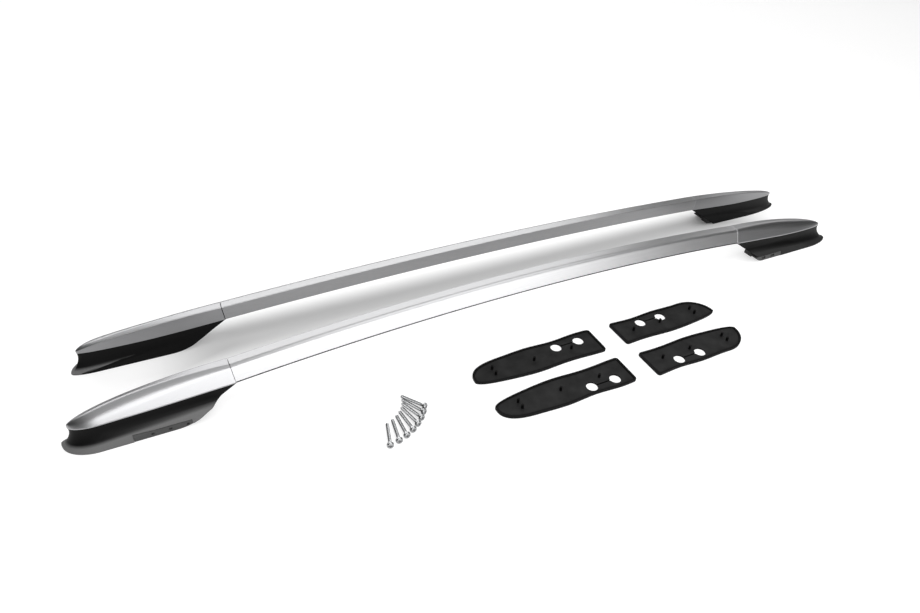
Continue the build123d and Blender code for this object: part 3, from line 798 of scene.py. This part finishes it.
def draw_base_form(bm, end, inset, lowest):
    """The flared form of the base, from its foot up past the cap's edge."""
    foot = foot_outline(end, 1, inset)
    rings = [[(x, y, z) for x, y in foot] for z in (lowest, LIP - inset)]
    rings += [wall_ring(end, inset, step / WALL_STEPS) for step in range(WALL_STEPS + 1)]
    top = NECK_HEIGHT + end.seam_height
    loft(bm, [*rings, [(x, y, top) for x, y in foot_outline(end, 0, inset)]])


# %% Cutters for a base
OVERRUN = 60.0  # how far a cutter goes past what it cuts
ROCKER_STEPS = 24
PLATE_LEAD = 10.0
PLATE_TAIL = 14.0
WINDOW_ROOM = 1.2
NECK_SIDE = 31.0
FIT = 0.3


def draw_under(bm, end, drop):
    """Everything below the cap's lower edge, or drop millimetres lower still."""
    stations = (-OVERRUN, end.cap_length / 2, end.cap_length + OVERRUN)
    edge = [(end.nose_x + s, lower_edge(end, s) - drop) for s in stations]
    side_prism(bm, [*edge, (edge[-1][0], -OVERRUN), (edge[0][0], -OVERRUN)])


def draw_slanted_end(bm, end, inset):
    """Everything on the seam's side of the base's slanted inner end."""
    low, high = (end.base_back - inset, end.base_lift), (-inset, end.seam_height)
    slant = OVERRUN * (high[0] - low[0]) / (high[1] - low[1])
    bottom, top = (low[0] - slant, low[1] - OVERRUN), (high[0] + slant, high[1] + OVERRUN)
    side_prism(bm, [bottom, top, (end.cap_length, top[1]), (end.cap_length, bottom[1])])


def draw_rocker(bm, end):
    """What is cut off below, where the underside curves up to the inner end."""
    radius, lift = end.rocker_radius, end.base_lift
    start = end.base_back - sqrt(2 * radius * lift - lift**2)
    sweep = acos(1 - lift / radius)
    far, near = end.base_back + OVERRUN, start - OVERRUN
    outline = [(far, lift), (far, -OVERRUN), (near, -OVERRUN), (near, -LIP)]
    for step in range(ROCKER_STEPS + 1):
        angle = sweep * step / ROCKER_STEPS
        outline.append((start + radius * sin(angle), radius - radius * cos(angle)))
    side_prism(bm, outline)


def draw_window(bm, end):
    """The opening in the base's walls that the bracket's foot plate fills."""
    start = end.threads[1] - PLATE_LEAD - FIT
    finish = end.threads[0] + PLATE_TAIL + end.flange_tail + FIT
    block(bm, (start, -2 * OVERRUN, -LIP), (finish, NECK_SIDE + FIT, FOOT_PLATE + WINDOW_ROOM))


# %% Mould the bases
BASE_WALL = 2.8
BASE_GAP = 0.3  # between the base's deck and the cap's lower edge
DECK = 3.0
BASE_EDGE = 0.4
FLANGE_FADE = 5.0
INNER_MARGIN = 2.0  # this close to the side that looks inwards, the base takes no painted highlight


def mark_flange_highlight(mesh, end):
    """Say of each vertex how much painted highlight it takes: most below the crease, and fading out above
    it.
    """
    painted_flange_light = mesh.attributes.new("painted_flange_light", "FLOAT", "POINT")
    for vert, mark in zip(mesh.vertices, painted_flange_light.data):
        x, y, z = vert.co
        fade = min(1.0, max(0.0, 1 - (z - crease_height(end, x)) / FLANGE_FADE))
        mark.value = end.flange_highlight * fade if y < SECTION_WIDTH - INNER_MARGIN else 0.0


for end in ENDS:
    inside = shape(draw_base_form, end, BASE_WALL, -LIP)
    inside = cut(inside, shape(draw_under, end, BASE_GAP + DECK), operation="INTERSECT")
    inside = cut(inside, shape(draw_slanted_end, end, BASE_WALL))
    base_mesh = shape(draw_base_form, end, 0.0, 0.0)
    base_mesh = cut(base_mesh, shape(draw_under, end, BASE_GAP), operation="INTERSECT")
    base_mesh = cut(base_mesh, shape(draw_slanted_end, end, 0.0), inside)
    base_mesh = cut(base_mesh, shape(draw_rocker, end), shape(draw_window, end))
    mark_flange_highlight(base_mesh, end)
    for side, place in SIDES.items():
        name = f"{side}_{end.name}_base_skin"
        add_piece(name, base_mesh, place @ END_PLACES[end.name], "black_plastic", bevel=BASE_EDGE)
    print(end.name, "base:", len(base_mesh.polygons), "faces")

# %% [markdown]
# ## Castings and screws
#
# The brackets and the bracket screws already have the right form in the frame, and
# drawing them again would only repeat it. A copy of each is merged, because the
# frame's meshes are loose triangles, its flat faces are put together again, and its
# edges are softened.

# %% Dress the solids that keep their form
MERGE = 0.01 * MM  # corners of triangles that are closer than this are one
FLAT = 1.0  # degrees; faces that differ by less are one face
CASTING_EDGE = 0.6
SCREW_EDGE = 0.2


def dress(node, slot, bevel):
    """A copy of one of the frame's solids, with soft edges and its finish."""
    bm = bmesh.new()
    bm.from_mesh(frame["nodes"][node].data)
    bmesh.ops.remove_doubles(bm, verts=bm.verts, dist=MERGE)
    bmesh.ops.dissolve_limit(bm, angle_limit=radians(FLAT), verts=bm.verts, edges=bm.edges)
    mesh = bpy.data.meshes.new(node)
    bm.to_mesh(mesh)
    bm.free()
    add_piece(f"{node}_skin", mesh, Matrix.Identity(4), slot, bevel=bevel)
    print(node, "has", len(mesh.polygons), "faces")


for side in SIDES:
    for end in ENDS:
        dress(f"{side}_{end.name}_bracket", "black_coated_casting", CASTING_EDGE)
    dress(f"{side}_bracket_screws", "zinc_plated_steel", SCREW_EDGE)

# %% [markdown]
# ## The pads
#
# A pad is a rubber gasket that goes between a foot and the roof. Its outline is like
# the foot's, a little larger. A raised rim runs round it, two holes let the bolts
# through, and pegs on top push into the base. A rubber sheet like this never lies
# quite true. A cloth simulation could warp it, but it would also blur the rim, so
# the long sides are drawn in by a wave as the outline is made.

# %% Outline of a pad
PAD_LIP = 7.0
PAD_END_LIP = 5.0
PAD_CORNER = 7.0
PAD_CORNER_STEPS = 6
PAD_SIDE_STEPS = 10
PAD_WARP = 3.2
PAD_WAVES = {"outer": (125.0, 0.0), "inner": (165.0, 0.3)}  # length, and where it starts


def warped(end, x, y):
    """A point of the pad's edge, drawn in a little where the rubber has warped."""
    length, start = PAD_WAVES["inner" if y > foot_middle else "outer"]
    from_nose = max(0.0, x - end.base_front)
    give = PAD_WARP * sin(pi * (from_nose / length + start)) ** 2 * min(1.0, from_nose / length)
    return x, y - give if y > foot_middle else y + give


def pad_ring(end, inset, z):
    """The pad's outline at a height, drawn in by an inset."""
    nose, back = end.base_front - PAD_END_LIP + inset, end.base_back + PAD_END_LIP - inset
    outer, inner = -FLARE_OUT - PAD_LIP + inset, SECTION_WIDTH + PAD_LIP - inset
    rounding = SimpleNamespace(**vars(end.pad))
    rounding.outer -= inset
    rounding.inner -= inset
    plan = nose_outline(nose, outer, inner, rounding, back)
    first, *bow, last = [Vector(point) for point in plan]
    shares = [step / PAD_SIDE_STEPS for step in range(1, PAD_SIDE_STEPS)]
    points = [first, *[blend(first, bow[0], share) for share in shares], *bow]
    points += [*[blend(bow[-1], last, share) for share in shares], last]
    sharp = [0] * (len(points) - 2)
    corner = PAD_CORNER - inset
    outline = eased(points, [corner, *sharp, corner], [PAD_CORNER_STEPS, *sharp, PAD_CORNER_STEPS])
    return [(*warped(end, *point), z) for point in outline]


for end in ENDS:
    print(end.name, "pad:", end.base_length + 2 * PAD_END_LIP, "mm long")

# %% Body of a pad, with its holes and slit
PAD_FIELD = 3.4
PAD_RIM = 2.2
PAD_RIM_WIDTH = 4.0
PAD_RIM_SLOPE = 0.8
PAD_HOLE_RADIUS = 11.5
SLIT_WIDTH = 2.6
SLIT_DEPTH = 2.6
DRILL_START = -1.0
DRILL_TOP = 2 * PAD_FIELD


def draw_pad_body(bm, end):
    """The foot's outline, raised, with its field pressed in inside a rim."""
    top = PAD_FIELD + PAD_RIM
    steps = [(0, 0), (0, top), (PAD_RIM_WIDTH, top), (PAD_RIM_WIDTH + PAD_RIM_SLOPE, PAD_FIELD)]
    loft(bm, [pad_ring(end, inset, z) for inset, z in steps])


def draw_holes(bm, end):
    """The two holes that the bolts go through."""
    for x in end.threads:
        upright(bm, x, THREAD_Y, DRILL_START, DRILL_TOP, PAD_HOLE_RADIUS)


def draw_slit(bm, end):
    """The narrow slit that joins the two holes."""
    near, far = end.threads
    half = SLIT_WIDTH / 2
    block(bm, (far, THREAD_Y - half, PAD_FIELD - SLIT_DEPTH), (near, THREAD_Y + half, DRILL_TOP))


# %% Pegs and field of a pad
PEG_RADIUS = 2.6
PEG_HEIGHT = 9.0
PEG_FACETS = 20
PEG_PAIR = 16.0
PEG_PAIR_PLACE = 41.0
PEG_ROW_Y = 14.0
PEG_ROOT = 0.5  # how deep a peg sits in the field
FIELD_BAND = 0.5  # a face this close to the field's height belongs to it


def draw_pegs(bm, end):
    """A pair of pegs at the nose, and two more in a row."""
    pegs = [(PEG_PAIR_PLACE, foot_middle + offset) for offset in (-PEG_PAIR / 2, PEG_PAIR / 2)]
    pegs += [(place, PEG_ROW_Y) for place in end.peg_places]
    for place, y in pegs:
        low, high = PAD_FIELD - PEG_ROOT, PAD_FIELD + PEG_HEIGHT
        upright(bm, end.base_front + place, y, low, high, PEG_RADIUS, PEG_FACETS)


def mark_sheen_field(mesh):
    """Say of each face whether it belongs to the field inside the rim, which takes the painted sheen."""
    sheen_field = mesh.attributes.new("sheen_field", "FLOAT", "FACE")
    for face, mark in zip(mesh.polygons, sheen_field.data):
        mark.value = float(face.normal.z > FACING and abs(face.center.z - PAD_FIELD) < FIELD_BAND)


# %% Lay the pads out
PAD_EDGE = 0.5
HALF_TURN = Matrix.Rotation(pi, 4, "Z")
PAD_PLACES = {
    "rear_left_pad": (REAR, shift(966.0, -107.0) @ MIRROR_Y),
    "rear_right_pad": (REAR, shift(969.5, -203.5)),
    "front_left_pad": (FRONT, shift(1017.5, -110.0) @ HALF_TURN),
    "front_right_pad": (FRONT, shift(1017.5, -209.0) @ MIRROR_X),
}
pad_meshes = {}
for end in ENDS:
    pad = cut(shape(draw_pad_body, end), shape(draw_slit, end), shape(draw_holes, end))
    pad = cut(pad, shape(draw_pegs, end), operation="UNION")
    mark_sheen_field(pad)
    pad_meshes[end.name] = pad
    print(end.name, "pad:", len(pad.polygons), "faces")
for name, (end, place) in PAD_PLACES.items():
    drawn = shift(-end.base_back - PAD_END_LIP, -foot_middle)
    add_piece(f"{name}_skin", pad_meshes[end.name], LEFT @ place @ drawn, "black_rubber", bevel=PAD_EDGE)

# %% [markdown]
# ## The bolts
#
# A machine screw with a pan head. A thread could be painted on as bump, but it shows
# in the outline, so it is modelled: one tooth of its profile, spun with a rise of one
# pitch a turn. The head is half a profile, spun once round, and a cross is cut into
# it. Eight of them lie in a fan, each on its tip and on the rim of its head.

# %% The thread
BOLT_RADIUS = 3.0  # an M6 screw
BOLT_LENGTH = 50.0
THREAD_PITCH = 1.0
THREAD_DEPTH = 0.5
THREAD_FLANK = 0.42  # share of the pitch that each flank of a tooth takes
THREAD_STEPS = 20
PLAIN_SHANK = 4.0
TIP_CHAMFER = 1.2
SEAM_MERGE = 0.001  # points of a spin that are closer than this are one


def draw_profile(bm, profile):
    """Draw an open line in x and z."""
    verts = [bm.verts.new((x, 0, z)) for x, z in profile]
    return [bm.edges.new(pair) for pair in zip(verts, verts[1:])]


def draw_thread(bm):
    """One tooth of the thread, wound up from the tip to the plain shank."""
    root = BOLT_RADIUS - THREAD_DEPTH
    tooth = [(root, 0), (BOLT_RADIUS, THREAD_FLANK), (BOLT_RADIUS, 1 - THREAD_FLANK), (root, 1)]
    turns = int((BOLT_LENGTH - PLAIN_SHANK - TIP_CHAMFER) / THREAD_PITCH) - 1
    bmesh.ops.spin(
        bm,
        geom=draw_profile(bm, [(x, TIP_CHAMFER + share * THREAD_PITCH) for x, share in tooth]),
        cent=(0, 0, 0),
        axis=(0, 0, 1),
        dvec=(0, 0, THREAD_PITCH / THREAD_STEPS),
        angle=2 * pi * turns,
        steps=THREAD_STEPS * turns,
    )
    bmesh.ops.remove_doubles(bm, verts=bm.verts, dist=SEAM_MERGE)
    bmesh.ops.recalc_face_normals(bm, faces=bm.faces)


thread_mesh = shape(draw_thread)
print("thread:", len(thread_mesh.polygons), "faces")

# %% The core and the head
BOLT_HEAD_RADIUS = 6.4
BOLT_HEAD_HEIGHT = 5.2
BOLT_TOP = BOLT_LENGTH + BOLT_HEAD_HEIGHT
CORE_ROOM = 0.02  # the core is this much thicker than the thread's root
SHANK_RAMP = 0.4
HEAD_EDGE = 0.3
CROWN_DEPTH = 2.8  # the crown's curve starts this far below the top
CROWN_RISE = 2.5
CROWN_REACH = 2.2
CROWN_STEPS = 7
TURN_STEPS = 40


def draw_core(bm):
    """Tip, core under the thread, plain shank and pan head, spun once round."""
    core = BOLT_RADIUS - THREAD_DEPTH + CORE_ROOM
    thread_end = BOLT_LENGTH - PLAIN_SHANK
    crown = BOLT_TOP - CROWN_DEPTH
    profile = [
        (0, 0),
        (core - TIP_CHAMFER / 2, 0),
        (core, TIP_CHAMFER / 2),
        (core, thread_end),
        (BOLT_RADIUS, thread_end + SHANK_RAMP),
        (BOLT_RADIUS, BOLT_LENGTH),
        (BOLT_HEAD_RADIUS - HEAD_EDGE, BOLT_LENGTH),
        (BOLT_HEAD_RADIUS, BOLT_LENGTH + HEAD_EDGE),
        (BOLT_HEAD_RADIUS, crown),
    ]
    for step in range(1, CROWN_STEPS):
        angle = pi / 2 * step / CROWN_STEPS
        reach = BOLT_HEAD_RADIUS - CROWN_REACH * (1 - cos(angle))
        profile.append((reach, crown + CROWN_RISE * sin(angle)))
    edges = draw_profile(bm, [*profile, (0, BOLT_TOP)])
    bmesh.ops.spin(
        bm, geom=edges, cent=(0, 0, 0), axis=(0, 0, 1), angle=2 * pi, steps=TURN_STEPS, use_merge=True
    )
    bmesh.ops.remove_doubles(bm, verts=bm.verts, dist=SEAM_MERGE)
    bmesh.ops.recalc_face_normals(bm, faces=bm.faces)


# %% The cross in the head
RECESS_LENGTH = 7.6
RECESS_WIDTH = 1.5
RECESS_DEPTH = 2.4
RECESS_OVERRUN = 1.0


def draw_slot(bm, x, y):
    """One of the two slots that make a cross."""
    block(bm, (-x / 2, -y / 2, BOLT_TOP - RECESS_DEPTH), (x / 2, y / 2, BOLT_TOP + RECESS_OVERRUN))


slots = [shape(draw_slot, RECESS_LENGTH, RECESS_WIDTH), shape(draw_slot, RECESS_WIDTH, RECESS_LENGTH)]
core_mesh = cut(shape(draw_core), *slots)
print("core and head:", len(core_mesh.polygons), "faces")

# %% Lay the bolts out in a fan
BOLT_COUNT = 8
BOLT_EDGE = 0.12
BOLT_SHARP = 50.0
FAN_CENTRE = (511.6, -59.9)
FAN_ANGLE = -56.0
FAN_STEP = -6.85
FAN_RADIUS = 44.0
FAN_STAGGER = 6.7


def draw_bolts(bm):
    """The bolts, each a little further out in the fan than the last."""
    tilt = atan2(BOLT_HEAD_RADIUS - BOLT_RADIUS, BOLT_LENGTH)
    lay = shift(0, 0, BOLT_RADIUS * cos(tilt)) @ Matrix.Rotation(pi / 2 - tilt, 4, "Y")
    for number in range(BOLT_COUNT):
        swing = Matrix.Rotation(radians(FAN_ANGLE + number * FAN_STEP), 4, "Z")
        place = shift(*FAN_CENTRE) @ swing @ shift(FAN_RADIUS + number * FAN_STAGGER) @ lay
        for part in (core_mesh, thread_mesh):
            laid = part.copy()
            laid.transform(place)
            bm.from_mesh(laid)
            bpy.data.meshes.remove(laid)


bolts = shape(draw_bolts)
add_piece("mounting_bolts_skin", bolts, LEFT, "zinc_plated_steel", bevel=BOLT_EDGE, sharp=BOLT_SHARP)
print("bolts:", BOLT_COUNT, "with", len(bolts.polygons), "faces")

# %% [markdown]
# ## The studio
#
# The rails lie on white paper under large light boxes. Paper that is lit brightly
# enough to be white would also throw light back on the rails. So it is a pale grey,
# and a glow lifts it to white only for what looks at it straight or in a mirror. The
# glow is weaker in a band between the rails, where the paper is grey in the picture:
# that band is a painted shadow, which the rails also mirror. The shadows that lie on
# the floor stay.

# %% Floor
FLOOR_HALF = 8.0  # metres
SHADE_MIDDLE = (0.04, 0.19, 0)  # of the painted shadow band between the rails, in metres
SHADE_ALONG = (0.62, 0.84)  # from the middle, where the band starts to fade and ends
SHADE_ACROSS = (0.01, 0.09)
# the glow in the painted shadow band, and on the rest of the paper
SHADOW_BAND_GLOW, PAPER_GLOW = 0.08, 0.6


def draw_floor(bm):
    bmesh.ops.create_grid(bm, x_segments=1, y_segments=1, size=FLOOR_HALF)


floor = bpy.data.objects.new("floor", shape(draw_floor))
bpy.context.collection.objects.link(floor)
print("floor:", 2 * FLOOR_HALF, "m wide")

# %% White paper: matt, and as white as the picture's background
paper = bpy.data.materials.new("white_paper_roll")
paper.use_nodes = True
paper.node_tree.nodes.clear()
spot = add_node(paper, "ShaderNodeTexCoord").outputs["Object"]
away = add_node(paper, "ShaderNodeVectorMath", {0: spot, 1: SHADE_MIDDLE}, operation="SUBTRACT")
away = add_node(paper, "ShaderNodeVectorMath", {0: away.outputs[0]}, operation="ABSOLUTE")
away = add_node(paper, "ShaderNodeSeparateXYZ", {0: away.outputs[0]}).outputs
fades = []
for distance, (start, finish) in ((away["X"], SHADE_ALONG), (away["Y"], SHADE_ACROSS)):
    inputs = {"Value": distance, "From Min": start, "From Max": finish}
    inputs.update({"To Min": SHADOW_BAND_GLOW, "To Max": PAPER_GLOW})
    fade = add_node(paper, "ShaderNodeMapRange", inputs, interpolation_type="SMOOTHSTEP")
    fades.append(fade.outputs["Result"])
white = add_node(paper, "ShaderNodeMath", {0: fades[0], 1: fades[1]}, operation="MAXIMUM").outputs[0]
rays = add_node(paper, "ShaderNodeLightPath").outputs
seen = rays["Is Camera Ray"]
for kind in ("Is Glossy Ray", "Is Transmission Ray"):
    seen = add_node(paper, "ShaderNodeMath", {0: seen, 1: rays[kind]}, operation="MAXIMUM").outputs[0]
lift = add_node(paper, "ShaderNodeMath", {0: seen, 1: white}, operation="MULTIPLY").outputs[0]
diffuse = add_node(paper, "ShaderNodeBsdfDiffuse", {"Color": colour("#bababa")}).outputs[0]
glow = add_node(paper, "ShaderNodeEmission", {"Strength": lift}).outputs[0]
both = add_node(paper, "ShaderNodeAddShader", {0: diffuse, 1: glow}).outputs[0]
add_node(paper, "ShaderNodeOutputMaterial", {"Surface": both})
floor.data.materials.append(paper)
print("floor finish:", paper.name)

# %% [markdown]
# ## The lamps
#
# Metal shows its lamps as much as its own colour. One lamp could light everything,
# but most of the metal would mirror the dark beside it. So three lamps stand where
# the rails mirror them: the front one in the outer walls, the back one in the flat
# tops, and the shoulder one in the round between the two. The overhead one lights
# pads, bases and caps softly, and the side one reaches the rear feet. The room is
# nearly dark, because a bright one would wash out the metal.

# %% World and lamps
ROOM_STRENGTH = 0.06
world = bpy.data.worlds.new("studio")
bpy.context.scene.world = world
world.use_nodes = True
world.node_tree.nodes.clear()
room = add_node(world, "ShaderNodeBackground", {"Color": colour("#ffffff"), "Strength": ROOM_STRENGTH})
add_node(world, "ShaderNodeOutputWorld", {"Surface": room.outputs[0]})


def softbox(name, place, target, size, power):
    """A rectangular lamp that faces its target, in metres and watts."""
    lamp = bpy.data.lights.new(name, "AREA")
    lamp.shape = "RECTANGLE"
    lamp.size, lamp.size_y = size
    lamp.energy = power
    stand = bpy.data.objects.new(name, lamp)
    bpy.context.collection.objects.link(stand)
    stand.location = place
    stand.rotation_euler = (Vector(target) - Vector(place)).to_track_quat("-Z", "Y").to_euler()
    print("lamp:", name, power, "W")


softbox("front", place=(0.1, -2.3, 1.05), target=(0.1, 0, 0.1), size=(3.7, 1.2), power=58)
softbox("back", place=(-0.05, 4.0, 3.2), target=(0, 1.2, 0), size=(8.1, 2.6), power=165)
softbox("shoulder", place=(0.65, -0.6, 2.3), target=(0.65, -0.6, 0), size=(2.2, 2.0), power=27)
softbox("overhead", place=(-0.4, -0.75, 2.6), target=(-0.4, -0.75, 0), size=(4.4, 4.5), power=45)
softbox("side", place=(4.4, 1.6, 2.2), target=(0.6, 0, 0.1), size=(2.4, 2.0), power=16)

# %% [markdown]
# ## The camera
#
# The picture was taken from close by with a wide lens, from the front left and above,
# with the camera turned a little about its own axis. It could be set by eye, but then
# the pieces could not be measured by it, so it was fitted to the corners of both rails.
# Its place is given in the left-hand rail's frame, in millimetres, and the lens follows
# from a focal length in pixels.

# %% Camera
PHOTO_WIDTH = 920
FOCAL_PIXELS = 626.571
SENSOR = 36.0
CAMERA_PLACE = (258.285, -860.768, 844.289)
CAMERA_ELEVATION = radians(37.803)
CAMERA_AZIMUTH = radians(27.083)
CAMERA_ROLL = radians(2.648)
level = cos(CAMERA_ELEVATION)
forward = Vector((sin(CAMERA_AZIMUTH) * level, cos(CAMERA_AZIMUTH) * level, -sin(CAMERA_ELEVATION)))
flat_right = Vector((cos(CAMERA_AZIMUTH), -sin(CAMERA_AZIMUTH), 0))
right = Matrix.Rotation(-CAMERA_ROLL, 3, forward) @ flat_right
up = right.cross(forward)
view = bpy.data.cameras.new("camera")
view.sensor_width = SENSOR
view.lens = SENSOR * FOCAL_PIXELS / PHOTO_WIDTH
camera = bpy.data.objects.new("camera", view)
bpy.context.collection.objects.link(camera)
camera.matrix_world = Matrix((right, up, -forward)).transposed().to_4x4()
camera.location = LEFT @ Vector(CAMERA_PLACE)
bpy.context.scene.camera = camera
bpy.context.scene.view_settings.view_transform = "Standard"
print("lens:", round(view.lens, 2), "mm")
